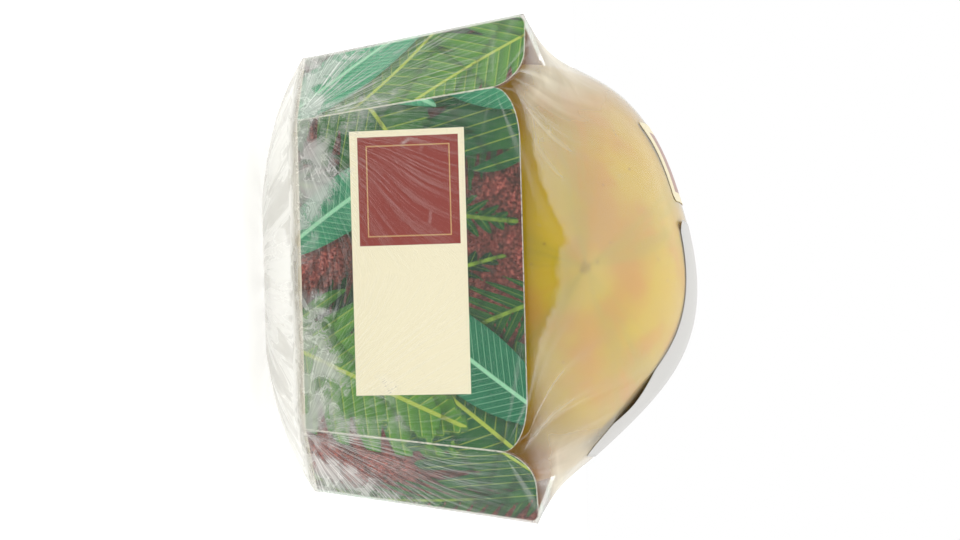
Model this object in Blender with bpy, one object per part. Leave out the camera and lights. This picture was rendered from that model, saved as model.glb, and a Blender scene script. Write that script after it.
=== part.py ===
"""A ripe papaya packed for sale: the whole fruit lies in a folded carton cradle with lobed walls, whose
floor bows under its weight. A sheet of stretch film is drawn over both, is gathered in a pad under the floor
and carries two stuck-on labels.

Frame: +Z up, the front wall of the carton faces -Y, the origin is on the resting surface under the middle of
the carton. Lengths are in metres.
"""

import math

import bmesh
import bpy
from mathutils import Matrix, Vector
from mathutils.bvhtree import BVHTree

# Air left between neighbouring pieces
GAP = 0.0003

# Carton cradle: an eight-sided tray of microflute board whose walls lean outwards. Half sizes are across and
# deep.
BOARD = 0.0013
WALL_HEIGHT = 0.0635
FLOOR_HALF = (0.0630, 0.0760)
FLOOR_CHAMFER = 0.0190
RIM_HALF = (0.0728, 0.0850)
RIM_CHAMFER = 0.0210

# The floor bows down by this much, is flat for a share of the way out and curves up from there in a few rows
FLOOR_BOW = 0.0100
FLAT_SHARE = 0.30
FLOOR_ROWS = 5

# Rounded top corners of the walls: width along the rim and depth. The lobes stand a little above the other
# walls, and where a lobe meets a square-cornered side wall the cut edge steps over a narrow width.
END_CURVE = (0.0160, 0.0080)
LOBE_CURVE = (0.0135, 0.0095)
LOBE_OUTER_CURVE = (0.0050, 0.0030)
LOBE_RISE = 0.0015
CURVE_STEPS = 6
CUT_WIDTH = 0.0004

# Fruit: length along its axis, belly radius, and how its body departs from a ball. The nipple, the dimple and
# the scar's pad are each a height and a width as an angle from the end.
FRUIT_LENGTH = 0.160
FRUIT_RADIUS = 0.0650
FRUIT_SQUASH = 0.87
FRUIT_TAPER = 0.14
FRUIT_RIBS = 5
RIB_HEIGHT = 0.025
FIRST_RIB = math.radians(72.0)
FRUIT_TILT = math.radians(20.5)
FRUIT_BEND = 0.003
NIPPLE = (0.0022, 0.13)
STEM_DIMPLE = (0.0045, 0.24)
STEM_PAD = (0.0016, 0.10)
FRUIT_AROUND = 44
FRUIT_ALONG = 30

# Stretch film, drawn thicker than life so that it is a solid, the extra air under it on the skin, and the pad
# of gathered film under the floor with the small eye in its middle
FILM = 0.0005
FILM_EASE = 0.0004
FILM_PAD = 0.0085
PAD_EYE = 0.0040
FILM_STEPS = {"end": 10, "side": 10, "lobe": 4}

# Above the rim the film is drawn in by this share of its way to the skin, in rows at even angles about a
# core point inside the fruit, at this height over the floor's edge
DRAW_IN = 0.75
FILM_ROWS = 16
CORE_HEIGHT = 0.052

# Labels: place of the middle and half size seen from above, turn, thickness and height above the film. They
# are dropped on the film from well above it.
DROP_HEIGHT = 0.3
LABEL = 0.0004
LABEL_LIFT = 0.0008
LABEL_STEPS = (14, 8)
WHITE_LABEL = {"centre": (0.0235, -0.0190), "half": (0.0345, 0.0270), "turn": math.radians(-5.0)}
CREAM_LABEL = {"centre": (-0.0300, -0.0235), "half": (0.0120, 0.0165), "turn": math.radians(-3.0)}

# Folds sharper than this many degrees are shaded as edges
FRUIT_EDGE = 60
BOARD_EDGE = 30
SHEET_EDGE = 40

# Height of the floor's outer face at its edge, the floor's rows as shares of the way out, and the film's core
FLOOR_Z = FLOOR_BOW + GAP + FILM_PAD
FLOOR_SHARES = [FLAT_SHARE + (1 - FLAT_SHARE) * k / FLOOR_ROWS for k in range(FLOOR_ROWS)]
CORE = Vector((0.0, 0.0, FLOOR_Z + CORE_HEIGHT))


def clear_scene():
    for thing in list(bpy.data.objects):
        bpy.data.objects.remove(thing)


def material(name, colour, roughness, alpha=1.0):
    """One Principled finish; colour is linear RGB."""
    mat = bpy.data.materials.new(name)
    mat.use_nodes = True
    shader = mat.node_tree.nodes["Principled BSDF"]
    shader.inputs["Base Color"].default_value = (*colour, 1.0)
    shader.inputs["Roughness"].default_value = roughness
    shader.inputs["Metallic"].default_value = 0.0
    shader.inputs["Alpha"].default_value = alpha
    return mat


def add_object(name, bm, mat, smooth_deg):
    """Turns a bmesh into a named object whose faces point out."""
    bmesh.ops.recalc_face_normals(bm, faces=bm.faces)
    mesh = bpy.data.meshes.new(name)
    bm.to_mesh(mesh)
    bm.free()
    mesh.materials.append(mat)
    mesh.shade_smooth()
    mesh.set_sharp_from_angle(angle=math.radians(smooth_deg))
    thing = bpy.data.objects.new(name, mesh)
    bpy.context.scene.collection.objects.link(thing)
    return thing


def octagon(half, chamfer, grow):
    """Corners of a rectangle with 45 degree chamfers, grown outwards, anticlockwise from the front's left."""
    hx, hy = half[0] + grow, half[1] + grow
    cut = chamfer + grow * (2 - math.sqrt(2))
    return [
        Vector((-hx + cut, -hy)),
        Vector((hx - cut, -hy)),
        Vector((hx, -hy + cut)),
        Vector((hx, hy - cut)),
        Vector((hx - cut, hy)),
        Vector((-hx + cut, hy)),
        Vector((-hx, hy - cut)),
        Vector((-hx, -hy + cut)),
    ]


def bow_share(share):
    """Share of the full bow at a share of the way out over the floor: 1 on the flat spot, 0 at the edge."""
    out = max(0.0, (share - FLAT_SHARE) / (1 - FLAT_SHARE))
    return 1 - out * out


def floor_top(place):
    """Height of the bowed floor's upper face under a point."""
    x, y = abs(place.x), abs(place.y)
    hx, hy = FLOOR_HALF
    share = max(x / hx, y / hy, (x + y) / (hx + hy - FLOOR_CHAMFER))
    return FLOOR_Z + BOARD - FLOOR_BOW * bow_share(min(share, 1.0))


def fruit_point(along, around):
    """A point of the skin: along runs from 0 at the blossom end to pi at the stem end, around is the turn
    about the axis from +X. The body is a ball stretched to length, fuller towards the blossom end, with five
    soft ribs, a slight bend, a nipple in front and a dimple with the stem's scar behind."""
    axial = -0.5 * FRUIT_LENGTH * math.cos(along)
    radius = FRUIT_RADIUS * math.sin(along) * (1 + FRUIT_TAPER * math.cos(along))
    radius *= 1 + RIB_HEIGHT * math.cos(FRUIT_RIBS * (around - FIRST_RIB))
    from_stem = math.pi - along
    axial -= NIPPLE[0] * math.exp(-((along / NIPPLE[1]) ** 2))
    axial -= STEM_DIMPLE[0] * math.exp(-((from_stem / STEM_DIMPLE[1]) ** 2))
    axial += STEM_PAD[0] * math.exp(-((from_stem / STEM_PAD[1]) ** 4))
    bend = FRUIT_BEND * (2 * axial / FRUIT_LENGTH) ** 2
    return Vector((radius * math.cos(around), axial, radius * math.sin(around) * FRUIT_SQUASH + bend))


def make_fruit(mat):
    """The fruit lies tilted in the bowed floor, its blossom end up and forwards."""
    bm = bmesh.new()
    bmesh.ops.create_uvsphere(bm, u_segments=FRUIT_AROUND, v_segments=FRUIT_ALONG, radius=1.0)
    for vert in bm.verts:
        along = math.acos(max(-1.0, min(1.0, vert.co.z)))
        vert.co = fruit_point(along, math.atan2(vert.co.y, vert.co.x))
    bmesh.ops.rotate(bm, verts=bm.verts, matrix=Matrix.Rotation(-FRUIT_TILT, 3, "X"))
    drop = min(vert.co.z - floor_top(vert.co) for vert in bm.verts)
    bmesh.ops.translate(bm, verts=bm.verts, vec=(0.0, 0.0, GAP - drop))
    return add_object("papaya", bm, mat, FRUIT_EDGE)


def wall_kind(wall):
    """Walls in turn, from the front: an end, a lobe, a side, a lobe, and again."""
    return ("end", "lobe", "side", "lobe")[wall % 4]


def rounded_drop(from_fold, curve):
    """How far a rounded top corner lies below its wall's top, at a distance from the fold."""
    width, depth = curve
    share = max(0.0, 1.0 - from_fold / width)
    return depth * (1.0 - math.sqrt(1.0 - share * share))


def corner_curves(wall):
    """The rounded corners at a wall's first and second fold; a side wall has square ones."""
    if wall_kind(wall) == "end":
        return END_CURVE, END_CURVE
    if wall_kind(wall) == "side":
        return None, None
    if wall % 4 == 1:
        return LOBE_CURVE, LOBE_OUTER_CURVE
    return LOBE_OUTER_CURVE, LOBE_CURVE


def wall_profile(wall, length):
    """Pairs of place along the rim and height of the cut edge. The second fold belongs to the next wall, and
    every fold takes the height of the lobe that meets there."""
    first, second = corner_curves(wall)
    if first is None:
        fold = WALL_HEIGHT + LOBE_RISE - LOBE_OUTER_CURVE[1]
        flat = (CUT_WIDTH, length / 2, length - CUT_WIDTH)
        return [(0.0, fold)] + [(place, WALL_HEIGHT) for place in flat]
    turns = [1 - math.cos(math.pi / 2 * k / CURVE_STEPS) for k in range(CURVE_STEPS + 1)]
    places = [first[0] * t for t in turns] + [length - second[0] * t for t in reversed(turns[1:])]
    crest = WALL_HEIGHT if wall_kind(wall) == "end" else WALL_HEIGHT + LOBE_RISE
    drops = [rounded_drop(p, first) + rounded_drop(length - p, second) for p in places]
    return [(place, crest - drop) for place, drop in zip(places, drops)]


def carton_columns(inset):
    """Foot and head points of the walls' columns all the way round, on a shell inset from the outer face."""
    floor = octagon(FLOOR_HALF, FLOOR_CHAMFER, -inset)
    rim = octagon(RIM_HALF, RIM_CHAMFER, -inset)
    outer_rim = octagon(RIM_HALF, RIM_CHAMFER, 0.0)
    columns = []
    for wall in range(8):
        after = (wall + 1) % 8
        length = (outer_rim[after] - outer_rim[wall]).length
        for place, height in wall_profile(wall, length):
            low = floor[wall].lerp(floor[after], place / length)
            high = rim[wall].lerp(rim[after], place / length)
            foot = low.lerp(high, inset / WALL_HEIGHT)
            head = low.lerp(high, height / WALL_HEIGHT)
            columns.append((Vector((*foot, FLOOR_Z + inset)), Vector((*head, FLOOR_Z + height))))
    return columns


def make_carton(mat):
    """One folded blank: eight walls and the bowed floor, all of one board."""
    bm = bmesh.new()
    shells = []
    for inset in (0.0, BOARD):
        shell = []
        for foot, head in carton_columns(inset):
            column = []
            for share in FLOOR_SHARES:
                low = Vector((foot.x * share, foot.y * share, foot.z - FLOOR_BOW * bow_share(share)))
                column.append(bm.verts.new(low))
            column += [bm.verts.new(foot), bm.verts.new(head)]
            shell.append(column)
        shells.append(shell)
    outer, inner = shells
    for shell in shells:
        for k in range(len(shell)):
            here, beside = shell[k - 1], shell[k]
            for row in range(len(here) - 1):
                bm.faces.new((here[row], beside[row], beside[row + 1], here[row + 1]))
        bm.faces.new([column[0] for column in shell])
    for k in range(len(outer)):
        bm.faces.new((outer[k - 1][-1], outer[k][-1], inner[k][-1], inner[k - 1][-1]))
    return add_object("carton_cradle", bm, mat, BOARD_EDGE)


def skin_reach(tree, heading, angle, lift):
    """Distance from the core to the fruit's skin at an angle above the level, in one upright half-plane."""
    aim = Vector((heading.x * math.cos(angle), heading.y * math.cos(angle), math.sin(angle)))
    return (tree.ray_cast(CORE, aim)[0] - CORE).length + lift


def tent_reach(start, touch, angle):
    """Distance from the core to the straight line between two (angle, reach) pairs."""
    (a0, r0), (a1, r1) = start, touch
    return r0 * r1 * math.sin(a1 - a0) / (r0 * math.sin(angle - a0) + r1 * math.sin(a1 - angle))


def drawn_over(tree, rim_point, lift):
    """The film's line from the rim to the top of the fruit, in the half-plane of a rim point. It would run
    straight to where it first touches the skin, and is drawn in by the pull across it. Also gives the top."""
    flat = Vector((rim_point.x, rim_point.y))
    heading = flat.normalized()
    rise = rim_point.z - CORE.z
    start = (math.atan2(rise, flat.length), math.hypot(rise, flat.length))
    angles = [start[0] + (math.pi / 2 - start[0]) * k / FILM_ROWS for k in range(1, FILM_ROWS + 1)]
    skin = [skin_reach(tree, heading, angle, lift) for angle in angles]
    # The film touches the skin first where the straight line from the rim leans in least
    lean = []
    for angle, reach in zip(angles, skin):
        ahead = angle - start[0]
        lean.append(math.atan2(start[1] - reach * math.cos(ahead), reach * math.sin(ahead)))
    touch = lean.index(min(lean))
    line = []
    for k in range(FILM_ROWS - 1):
        reach = skin[k]
        if k < touch:
            share = (angles[k] - start[0]) / (angles[touch] - start[0])
            pull = DRAW_IN * (1 - (1 - share) ** 3)
            reach += (tent_reach(start, (angles[touch], skin[touch]), angles[k]) - reach) * (1 - pull)
        out = reach * math.cos(angles[k])
        line.append(Vector((heading.x * out, heading.y * out, CORE.z + reach * math.sin(angles[k]))))
    return line, CORE.z + skin[-1]


def film_columns(tree, grow, pad):
    """The film's columns all the way round, each from the eye of the pad up to the row below the top, and
    the height of the top. The pad's share of the thickness fades from the flat spot to the floor's edge."""
    floor = octagon(FLOOR_HALF, FLOOR_CHAMFER, grow)
    rim = octagon(RIM_HALF, RIM_CHAMFER, grow)
    columns = []
    for wall in range(8):
        after = (wall + 1) % 8
        count = FILM_STEPS[wall_kind(wall)]
        for k in range(count):
            low = floor[wall].lerp(floor[after], k / count)
            high = rim[wall].lerp(rim[after], k / count)
            under = []
            for share in [PAD_EYE / low.length, *FLOOR_SHARES, 1.0]:
                depth = (FLOOR_BOW + pad) * bow_share(share) + grow
                under.append(Vector((low.x * share, low.y * share, FLOOR_Z - depth)))
            crest = WALL_HEIGHT + LOBE_RISE + grow
            middle = Vector((*low.lerp(high, 0.5), FLOOR_Z + 0.5 * WALL_HEIGHT))
            head = Vector((*low.lerp(high, crest / WALL_HEIGHT), FLOOR_Z + crest))
            above, top = drawn_over(tree, head, grow + FILM_EASE)
            columns.append([*under, middle, head, *above])
    return columns, top


def make_film(tree, mat):
    """One skin with an inner and an outer face, joined round the eye where the gathered edges meet."""
    bm = bmesh.new()
    skins = []
    for grow, pad in ((GAP, 0.0), (GAP + FILM, FILM_PAD - FILM)):
        columns, top = film_columns(tree, grow, pad)
        pole = bm.verts.new((0.0, 0.0, top))
        skins.append(([[bm.verts.new(p) for p in column] for column in columns], pole))
    for columns, pole in skins:
        for k in range(len(columns)):
            here, beside = columns[k - 1], columns[k]
            for row in range(len(here) - 1):
                bm.faces.new((here[row], beside[row], beside[row + 1], here[row + 1]))
            bm.faces.new((here[-1], beside[-1], pole))
    inner, outer = skins[0][0], skins[1][0]
    for k in range(len(inner)):
        bm.faces.new((inner[k - 1][0], inner[k][0], outer[k][0], outer[k - 1][0]))
    return add_object("film_wrap", bm, mat, SHEET_EDGE)


def make_label(name, film_tree, spec, mat):
    """A sticker laid on the film: a grid dropped on it from above, with a second face one thickness up."""
    bm = bmesh.new()
    faces = []
    across, deep = LABEL_STEPS
    turn = Matrix.Rotation(spec["turn"], 2)
    for lift in (LABEL_LIFT, LABEL_LIFT + LABEL):
        rows = []
        for j in range(deep + 1):
            row = []
            for i in range(across + 1):
                flat = Vector((spec["half"][0] * (2 * i / across - 1), spec["half"][1] * (2 * j / deep - 1)))
                place = turn @ flat + Vector(spec["centre"])
                hit, normal, _, _ = film_tree.ray_cast(Vector((*place, DROP_HEIGHT)), Vector((0, 0, -1)))
                row.append(bm.verts.new(hit + normal * lift))
            rows.append(row)
        faces.append(rows)
    below, above = faces
    for rows in faces:
        for j in range(deep):
            for i in range(across):
                bm.faces.new((rows[j][i], rows[j][i + 1], rows[j + 1][i + 1], rows[j + 1][i]))
    border = [(0, i) for i in range(across)]
    border += [(j, across) for j in range(deep)]
    border += [(deep, i) for i in range(across, 0, -1)]
    border += [(j, 0) for j in range(deep, 0, -1)]
    for (ja, ia), (jb, ib) in zip(border, border[1:] + border[:1]):
        bm.faces.new((below[ja][ia], below[jb][ib], above[jb][ib], above[ja][ia]))
    return add_object(name, bm, mat, SHEET_EDGE)


def surface_tree(thing):
    """A ray-casting tree of an object's own mesh."""
    bm = bmesh.new()
    bm.from_mesh(thing.data)
    tree = BVHTree.FromBMesh(bm)
    bm.free()
    return tree


def main():
    clear_scene()
    skin = material("papaya skin", (0.62, 0.42, 0.10), 0.45)
    board = material("printed board", (0.10, 0.24, 0.11), 0.5)
    clear_film = material("stretch film", (0.85, 0.86, 0.83), 0.12, alpha=0.35)
    white_paper = material("white label", (0.78, 0.77, 0.74), 0.4)
    cream_paper = material("cream label", (0.76, 0.70, 0.50), 0.4)
    fruit = make_fruit(skin)
    make_carton(board)
    film = make_film(surface_tree(fruit), clear_film)
    film_tree = surface_tree(film)
    make_label("white_label", film_tree, WHITE_LABEL, white_paper)
    make_label("cream_label", film_tree, CREAM_LABEL, cream_paper)


main()
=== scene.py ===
import math

import bpy
import numpy as np
from mathutils import Matrix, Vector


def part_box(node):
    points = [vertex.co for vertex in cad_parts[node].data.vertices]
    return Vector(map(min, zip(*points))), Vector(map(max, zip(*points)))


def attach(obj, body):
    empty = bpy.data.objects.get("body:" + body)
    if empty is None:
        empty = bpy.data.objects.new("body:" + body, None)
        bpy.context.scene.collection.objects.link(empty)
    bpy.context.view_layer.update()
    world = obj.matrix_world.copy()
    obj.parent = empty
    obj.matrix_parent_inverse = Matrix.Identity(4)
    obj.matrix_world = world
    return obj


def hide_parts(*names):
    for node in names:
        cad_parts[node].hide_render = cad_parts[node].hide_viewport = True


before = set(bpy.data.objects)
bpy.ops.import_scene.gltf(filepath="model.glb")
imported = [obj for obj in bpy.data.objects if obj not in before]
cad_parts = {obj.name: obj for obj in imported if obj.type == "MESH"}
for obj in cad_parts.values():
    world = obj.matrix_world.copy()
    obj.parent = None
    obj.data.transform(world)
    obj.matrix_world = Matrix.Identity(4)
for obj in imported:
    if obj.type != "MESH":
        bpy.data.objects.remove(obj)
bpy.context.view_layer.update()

# The studio is a round backlit white table in a white light tent that is dark only round the lens. The camera lies
# on its side, as the photograph was taken, so the pack's top points to the picture's right.
FOCAL_MM = 81.0
SENSOR_MM = 36.0
CAMERA_AIM = np.array([0.0, -0.0850, 0.0701])
CAMERA_DISTANCE = 0.600
CAMERA_RISE = math.radians(4.0)
CAMERA_ROLL = math.radians(-1.6)
TABLE_RADIUS = 4.0
TENT_LIGHT = 1.62
FRONT_LIGHT = 0.35
BACK_LIGHT = 1.0
TABLE_LIGHT = 0.56
TABLE_WHITE = "#C9C8C4"


def linear(code):
    """Linear RGBA of an sRGB hex colour: each channel over 255, with the sRGB curve undone."""
    parts = np.array([int(code[k : k + 2], 16) for k in (1, 3, 5)]) / 255
    flat = np.where(parts <= 0.04045, parts / 12.92, ((parts + 0.055) / 1.055) ** 2.4)
    return (*flat.tolist(), 1.0)


def add(tree, kind, inputs=None, **settings):
    """Adds one node with its own settings; an input is a number, a colour, or another node's output to link."""
    made = tree.nodes.new(kind)
    for name, value in settings.items():
        setattr(made, name, value)
    for name, value in (inputs or {}).items():
        if isinstance(value, bpy.types.NodeSocket):
            tree.links.new(value, made.inputs[name])
        else:
            made.inputs[name].default_value = value
    return made


def new_finish(name):
    """An empty material with its node tree and output, for one real finish."""
    finish = bpy.data.materials.new(name)
    finish.use_nodes = True
    finish.node_tree.nodes.clear()
    return finish, finish.node_tree, add(finish.node_tree, "ShaderNodeOutputMaterial")


def put_mesh(name, points, faces, finish):
    """A smooth-shaded object at the origin from an array of points and a list of faces."""
    mesh = bpy.data.meshes.new(name)
    mesh.from_pydata(points.tolist(), [], faces)
    mesh.shade_smooth()
    mesh.materials.append(finish)
    thing = bpy.data.objects.new(name, mesh)
    bpy.context.scene.collection.objects.link(thing)
    return thing


camera_data = bpy.data.cameras.new("camera")
camera_data.lens = FOCAL_MM
camera_data.sensor_width = SENSOR_MM
camera = bpy.data.objects.new("camera", camera_data)
bpy.context.scene.collection.objects.link(camera)
bpy.context.scene.camera = camera
gaze = np.array([0.0, math.cos(CAMERA_RISE), -math.sin(CAMERA_RISE)])
level = np.array([1.0, 0.0, 0.0])
upward = np.cross(level, gaze)
picture_down = level * math.cos(CAMERA_ROLL) + upward * math.sin(CAMERA_ROLL)
picture_right = upward * math.cos(CAMERA_ROLL) - level * math.sin(CAMERA_ROLL)
stand = np.eye(4)
stand[:3, 0], stand[:3, 1], stand[:3, 2] = picture_right, -picture_down, -gaze
stand[:3, 3] = CAMERA_AIM - gaze * CAMERA_DISTANCE
camera.matrix_world = Matrix(stand.tolist())


def maths(tree, operation, first, second=0.5, third=0.0):
    """The result of one sum on two or three numbers or outputs."""
    settings = {0: first, 1: second, 2: third}
    return add(tree, "ShaderNodeMath", settings, operation=operation).outputs[0]


def span(tree, value, low, high, to_low=0.0, to_high=1.0):
    """A value spread from one range to another, smooth at both ends and held there."""
    ends = {"Value": value, "From Min": low, "From Max": high, "To Min": to_low, "To Max": to_high}
    return add(tree, "ShaderNodeMapRange", ends, interpolation_type="SMOOTHSTEP").outputs["Result"]


# The tent is bright overhead and to the sides, plain white behind the pack and dim low in front
room = bpy.data.worlds.new("light tent")
room.use_nodes = True
bpy.context.scene.world = room
bpy.context.scene.view_settings.view_transform = "Standard"
tree = room.node_tree
tree.nodes.clear()
way = add(tree, "ShaderNodeSeparateXYZ", {0: add(tree, "ShaderNodeTexCoord").outputs["Generated"]})
sideways = maths(tree, "ABSOLUTE", way.outputs[0])
overhead = maths(tree, "ADD", way.outputs[2], maths(tree, "MULTIPLY", sideways, 0.62))
tent = span(tree, overhead, 0.70, 0.86, FRONT_LIGHT, TENT_LIGHT)
behind = span(tree, way.outputs[1], 0.0, 0.35)
tent = maths(tree, "MAXIMUM", tent, maths(tree, "MULTIPLY", behind, BACK_LIGHT))
seen = add(tree, "ShaderNodeLightPath").outputs["Is Camera Ray"]
glow = add(tree, "ShaderNodeMix", {0: seen, 2: tent, 3: 1.0}, data_type="FLOAT").outputs[0]
backdrop = add(tree, "ShaderNodeBackground", {"Color": (1.0, 1.0, 1.0, 1.0), "Strength": glow})
add(tree, "ShaderNodeOutputWorld", {"Surface": backdrop.outputs[0]})

# Backlit white acrylic: smooth and even, with a soft broad sheen
acrylic, tree, out = new_finish("white acrylic")
cloud = add(tree, "ShaderNodeTexNoise", {"Scale": 3.0, "Detail": 2.0})
table_rough = add(tree, "ShaderNodeMapRange", {"Value": cloud.outputs["Fac"], "To Min": 0.5, "To Max": 0.6})
table_shader = add(
    tree,
    "ShaderNodeBsdfPrincipled",
    {
        "Base Color": linear(TABLE_WHITE),
        "Roughness": table_rough.outputs["Result"],
        "Emission Color": (1.0, 1.0, 1.0, 1.0),
        "Emission Strength": TABLE_LIGHT,
    },
)
tree.links.new(table_shader.outputs[0], out.inputs["Surface"])
turn = np.linspace(0, 2 * math.pi, 97)[:-1]
edge = np.stack([TABLE_RADIUS * np.cos(turn), TABLE_RADIUS * np.sin(turn), np.zeros(96)], axis=1)
table_top = put_mesh("table", edge, [list(range(96))], acrylic)

# The papaya is one ripe fruit that lies tilted in the carton with its blossom end up and forwards. It grew with
# five soft ribs, a small nipple in front and, behind, a dimple with the corky scar where the stem was cut.
FRUIT_LENGTH = 0.160
FRUIT_RADIUS = 0.0650
FRUIT_SQUASH = 0.87
FRUIT_TAPER = 0.14
FRUIT_RIBS = 5
RIB_HEIGHT = 0.025
FIRST_RIB = math.radians(72.0)
FRUIT_TILT = math.radians(20.5)
FRUIT_BEND = 0.003
NIPPLE = (0.0022, 0.13)
STEM_DIMPLE = (0.0045, 0.24)
STEM_PAD = (0.0016, 0.10)
SKIN_AROUND = 256
SKIN_ALONG = 190
SKIN_DENT = 0.0004
LENTICEL_MM = 5.5
BLOTCH_MM = 26.0


def wander(points, size, seed, waves=14):
    """A smooth random field from -1 to 1: the mean of plane waves of about one size, in seeded directions."""
    draw = np.random.default_rng(seed)
    ways = draw.normal(size=(waves, 3))
    ways *= (draw.uniform(0.6, 1.5, waves) * 2 * math.pi / size / np.linalg.norm(ways, axis=1))[:, None]
    phase = draw.uniform(0, 2 * math.pi, waves)
    return np.clip(np.cos(points @ ways.T + phase).sum(axis=-1) / math.sqrt(waves), -1.6, 1.6) / 1.6


def fruit_lengthways(along):
    """Place on the axis at an angle from the blossom end: half the length times minus the cosine, pushed out by
    the nipple and in by the stem's dimple, with the scar's pad in it."""
    from_stem = math.pi - along
    axial = -0.5 * FRUIT_LENGTH * np.cos(along)
    axial = axial - NIPPLE[0] * np.exp(-((along / NIPPLE[1]) ** 2))
    axial = axial - STEM_DIMPLE[0] * np.exp(-((from_stem / STEM_DIMPLE[1]) ** 2))
    return axial + STEM_PAD[0] * np.exp(-((from_stem / STEM_PAD[1]) ** 4))


def fruit_breadth(along, around):
    """Radius of the body: the belly radius times the sine, fuller in front, times one plus five cosine ribs."""
    ribs = 1 + RIB_HEIGHT * np.cos(FRUIT_RIBS * (around - FIRST_RIB))
    return FRUIT_RADIUS * np.sin(along) * (1 + FRUIT_TAPER * np.cos(along)) * ribs


def tilted(points, angle):
    """Points turned about the X axis by minus the angle."""
    x, y, z = points[..., 0], points[..., 1], points[..., 2]
    turned_y = y * math.cos(angle) + z * math.sin(angle)
    return np.stack([x, turned_y, z * math.cos(angle) - y * math.sin(angle)], axis=-1)


def fruit_skin(along, around):
    """The skin before it is lifted into place: radius and axis place turned round, pressed flatter, with a
    slight bend that grows with the square of the distance from the middle, then tilted."""
    axial = fruit_lengthways(along)
    breadth = fruit_breadth(along, around)
    bend = FRUIT_BEND * (2 * axial / FRUIT_LENGTH) ** 2
    body = [breadth * np.cos(around), axial, breadth * np.sin(around) * FRUIT_SQUASH + bend]
    return tilted(np.stack(body, axis=-1), FRUIT_TILT)


def ring_faces(rings, columns):
    """Faces of rings of points joined in turn all the way round, with a closing point at each end."""
    ring, column = np.meshgrid(np.arange(rings - 1), np.arange(columns), indexing="ij")
    beside = (column + 1) % columns
    low, high = ring * columns, (ring + 1) * columns
    quads = np.stack([low + column, low + beside, high + beside, high + column], axis=-1).reshape(-1, 4)
    column = np.arange(columns)
    beside = (column + 1) % columns
    first, last = rings * columns, rings * columns + 1
    top = (rings - 1) * columns
    start = np.stack([np.full(columns, first), beside, column], axis=-1)
    end = np.stack([np.full(columns, last), top + column, top + beside], axis=-1)
    return quads.tolist() + start.tolist() + end.tolist()


def with_ends(rings, first, last):
    """Rings of values as one flat array, followed by the values of the two closing points."""
    width = rings.shape[2:] or (1,)
    flat = rings.reshape(-1, *width)
    ends = np.array([first, last], dtype=float).reshape(2, *width)
    return np.concatenate([flat, ends])


def keep(thing, name, values):
    """Stores one number or one vector for each point of a mesh."""
    kind, key = ("FLOAT", "value") if values.shape[1] == 1 else ("FLOAT_VECTOR", "vector")
    store = thing.data.attributes.new(name, kind, "POINT")
    store.data.foreach_set(key, values.astype(np.float32).ravel())


def read(tree, name):
    """The node that reads a stored value."""
    return add(tree, "ShaderNodeAttribute", attribute_name=name)


def blend(tree, share, first, second):
    """The mix of two colours by a share."""
    made = add(tree, "ShaderNodeMix", {0: share, 6: first, 7: second}, data_type="RGBA")
    return made.outputs[2]


along = np.linspace(0, math.pi, SKIN_ALONG + 2)[1:-1, None] + np.zeros((1, SKIN_AROUND))
around = np.linspace(0, 2 * math.pi, SKIN_AROUND + 1)[None, :-1] + np.zeros((SKIN_ALONG, 1))
skin = fruit_skin(along, around)
tip = fruit_skin(np.array(0.0), np.array(0.0))
stem = fruit_skin(np.array(math.pi), np.array(0.0))
fruit_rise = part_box("papaya")[0].z - skin[..., 2].min()
inward = -skin / np.linalg.norm(skin, axis=-1, keepdims=True)
dent = SKIN_DENT * (0.5 + 0.5 * wander(skin, 0.022, 4)) * np.sin(along) ** 0.5
skin = skin + inward * dent[..., None]
points = with_ends(skin, tip, stem) + np.array([0.0, 0.0, fruit_rise])

# Waxy papaya peel, ripened from green to gold: smooth and close, with corky specks, a few rubbed hairlines and a
# greener cast in the furrows and at the tip
peel, tree, out = new_finish("waxy papaya peel")
place = add(tree, "ShaderNodeTexCoord").outputs["Object"]
grown = add(tree, "ShaderNodeSeparateXYZ", {0: read(tree, "grown").outputs["Vector"]})
blossom, rib = grown.outputs[0], grown.outputs[1]
blotch = add(tree, "ShaderNodeTexNoise", {"Vector": place, "Scale": 1000 / BLOTCH_MM, "Detail": 3.0})
streak = add(
    tree,
    "ShaderNodeTexNoise",
    {"Vector": read(tree, "lengthways").outputs["Vector"], "Scale": 1.0, "Detail": 6.0, "Roughness": 0.62},
)
ripe = maths(tree, "ADD", span(tree, blossom, 0.10, 0.42), maths(tree, "MULTIPLY", blotch.outputs["Fac"], 0.35))
colour = blend(tree, span(tree, ripe, 0.15, 1.05), linear("#D2B11A"), linear("#B4882C"))
colour = blend(tree, span(tree, blotch.outputs["Fac"], 0.46, 0.68, 0.0, 0.7), colour, linear("#D08A2C"))
furrow = maths(tree, "MULTIPLY", span(tree, rib, 0.5, -1.1), span(tree, blossom, 0.75, 0.15))
furrow = maths(tree, "MULTIPLY", furrow, span(tree, streak.outputs["Fac"], 0.35, 0.6))
colour = blend(tree, maths(tree, "MULTIPLY", furrow, 0.6), colour, linear("#B4A424"))
colour = blend(tree, span(tree, streak.outputs["Fac"], 0.50, 0.80, 0.0, 0.3), colour, linear("#CB8E2C"))
tip_green = span(tree, blossom, 0.16, 0.0)
colour = blend(tree, maths(tree, "MULTIPLY", tip_green, 0.20), colour, linear("#ABA632"))
cells = add(tree, "ShaderNodeTexVoronoi", {"Vector": place, "Scale": 1000 / LENTICEL_MM})
rare = add(tree, "ShaderNodeSeparateColor", {0: cells.outputs["Color"]}).outputs[0]
speck = maths(tree, "MULTIPLY", span(tree, cells.outputs["Distance"], 0.13, 0.05), span(tree, rare, 0.62, 0.66))
colour = blend(tree, maths(tree, "MULTIPLY", speck, 0.4), colour, linear("#7A4A22"))
tip_scar = maths(tree, "MULTIPLY", span(tree, blossom, 0.012, 0.003), span(tree, streak.outputs["Fac"], 0.45, 0.6))
scar = maths(tree, "MAXIMUM", tip_scar, span(tree, blossom, 0.966, 0.975))
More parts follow.
